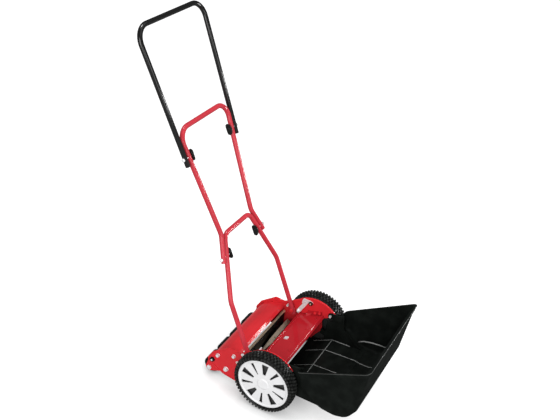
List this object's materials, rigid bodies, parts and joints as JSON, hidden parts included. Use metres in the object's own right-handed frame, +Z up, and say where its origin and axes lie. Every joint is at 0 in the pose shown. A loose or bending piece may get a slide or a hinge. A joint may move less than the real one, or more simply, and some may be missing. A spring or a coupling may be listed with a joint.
{
  "type": "push reel mower",
  "caption": "Push reel mower: pressed side plates carry knobbly geared wheels, a helical cutting reel, a rear roller, a folding tubular handle and a front grass catcher.",
  "frame": {"origin": "on the ground, under the middle of the wheel axle", "axes": "+X along the wheel axle, +Y forward towards the grass catcher, +Z up"},
  "size_m": [0.398, 0.8242, 1.0666],
  "materials": {
    "red_paint": "gloss",
    "black_paint": "satin",
    "zinc": "bright zinc",
    "blade_steel": "ground",
    "tyre": "matt",
    "white_plastic": "semi-gloss",
    "black_plastic": "satin",
    "catcher_plastic": "grained satin"
  },
  "bodies": {
    "chassis": {"right_side_plate": "red_paint", "left_side_plate": "red_paint", "right_axle_stub": "zinc", "left_axle_stub": "zinc", "axle_nuts": "zinc", "right_reel_bush": "black_plastic", "left_reel_bush": "black_plastic", "bed_bar": "red_paint", "bed_knife": "blade_steel", "bed_knife_screws": "zinc", "bed_bar_bolts": "zinc", "rear_cover": "red_paint", "cover_bolts": "zinc", "front_deflector": "red_paint", "deflector_bolts": "zinc", "deflector_centre_bolt": "zinc", "tie_rod": "zinc", "tie_rod_nuts": "zinc", "right_adjuster_bracket": "zinc", "left_adjuster_bracket": "zinc", "adjuster_bolts": "zinc", "roller_pivot_bolts": "zinc", "height_clamp_bolts": "zinc", "height_clamp_nuts": "black_plastic", "handle_pivot_bolts": "zinc", "handle_stop_pins": "zinc", "catcher_pegs": "zinc"},
    "right_wheel": {"right_wheel_rim": "black_plastic", "right_tyre": "tyre", "right_hub_cap": "white_plastic"},
    "left_wheel": {"left_wheel_rim": "black_plastic", "left_tyre": "tyre", "left_hub_cap": "white_plastic"},
    "reel": {"reel_shaft": "blade_steel", "reel_blades": "blade_steel", "reel_spiders": "blade_steel", "right_pinion": "black_plastic", "drive_pawls": "blade_steel", "pinion_clips": "blade_steel"},
    "left_pinion": {"left_pinion": "black_plastic"},
    "roller_frame": {"right_roller_bracket": "red_paint", "left_roller_bracket": "red_paint", "roller_axle": "zinc", "roller_axle_nuts": "zinc"},
    "roller": {"roller": "black_plastic"},
    "lower_handle": {"lower_handle": "red_paint", "lower_clamp_bolts": "zinc"},
    "middle_handle": {"middle_handle": "red_paint", "upper_clamp_bolts": "zinc"},
    "upper_handle": {"upper_handle": "black_paint"},
    "right_lower_knob": {"right_lower_knob": "black_plastic"},
    "left_lower_knob": {"left_lower_knob": "black_plastic"},
    "right_upper_knob": {"right_upper_knob": "black_plastic"},
    "left_upper_knob": {"left_upper_knob": "black_plastic"},
    "catcher": {"catcher": "catcher_plastic"}
  },
  "joints": [
    {"name": "right_wheel_spin", "type": "hinge", "parent": "chassis", "child": "right_wheel", "pos_m": [0.175, 0, 0.1], "axis": [1, 0, 0], "continuous": true},
    {"name": "left_wheel_spin", "type": "hinge", "parent": "chassis", "child": "left_wheel", "pos_m": [-0.175, 0, 0.1], "axis": [1, 0, 0], "continuous": true},
    {"name": "reel_spin", "type": "hinge", "parent": "chassis", "child": "reel", "pos_m": [0, -0.04872, 0.06499], "axis": [1, 0, 0], "continuous": true},
    {"name": "left_pinion_spin", "type": "hinge", "parent": "chassis", "child": "left_pinion", "pos_m": [-0.163, -0.04872, 0.06499], "axis": [1, 0, 0], "continuous": true},
    {"name": "roller_height", "type": "hinge", "parent": "chassis", "child": "roller_frame", "pos_m": [0, -0.1479, 0.0515], "axis": [1, 0, 0], "range_deg": [-5, 5]},
    {"name": "roller_spin", "type": "hinge", "parent": "roller_frame", "child": "roller", "pos_m": [0, -0.2091, 0.026], "axis": [1, 0, 0], "continuous": true},
    {"name": "handle_tilt", "type": "hinge", "parent": "chassis", "child": "lower_handle", "pos_m": [0, -0.0777, 0.1244], "axis": [-1, 0, 0], "range_deg": [0, 40]},
    {"name": "middle_handle_fold", "type": "hinge", "parent": "lower_handle", "child": "middle_handle", "pos_m": [0, -0.21257, 0.41899], "axis": [1, 0, 0], "range_deg": [-90, 90]},
    {"name": "upper_handle_fold", "type": "hinge", "parent": "middle_handle", "child": "upper_handle", "pos_m": [0, -0.34745, 0.71359], "axis": [1, 0, 0], "range_deg": [-90, 90]},
    {"name": "right_lower_knob_turn", "type": "hinge", "parent": "lower_handle", "child": "right_lower_knob", "pos_m": [0.078, -0.21257, 0.41899], "axis": [1, 0, 0], "continuous": true},
    {"name": "left_lower_knob_turn", "type": "hinge", "parent": "lower_handle", "child": "left_lower_knob", "pos_m": [-0.078, -0.21257, 0.41899], "axis": [1, 0, 0], "continuous": true},
    {"name": "right_upper_knob_turn", "type": "hinge", "parent": "middle_handle", "child": "right_upper_knob", "pos_m": [0.103, -0.34745, 0.71359], "axis": [1, 0, 0], "continuous": true},
    {"name": "left_upper_knob_turn", "type": "hinge", "parent": "middle_handle", "child": "left_upper_knob", "pos_m": [-0.103, -0.34745, 0.71359], "axis": [1, 0, 0], "continuous": true},
    {"name": "catcher_tilt", "type": "hinge", "parent": "chassis", "child": "catcher", "pos_m": [0, 0.056, 0.16], "axis": [1, 0, 0], "range_deg": [0, 45]}
  ],
  "couplings": [
    {"joint": "reel_spin", "follows": "right_wheel_spin", "ratio": 5},
    {"joint": "left_pinion_spin", "follows": "left_wheel_spin", "ratio": 5}
  ]
}
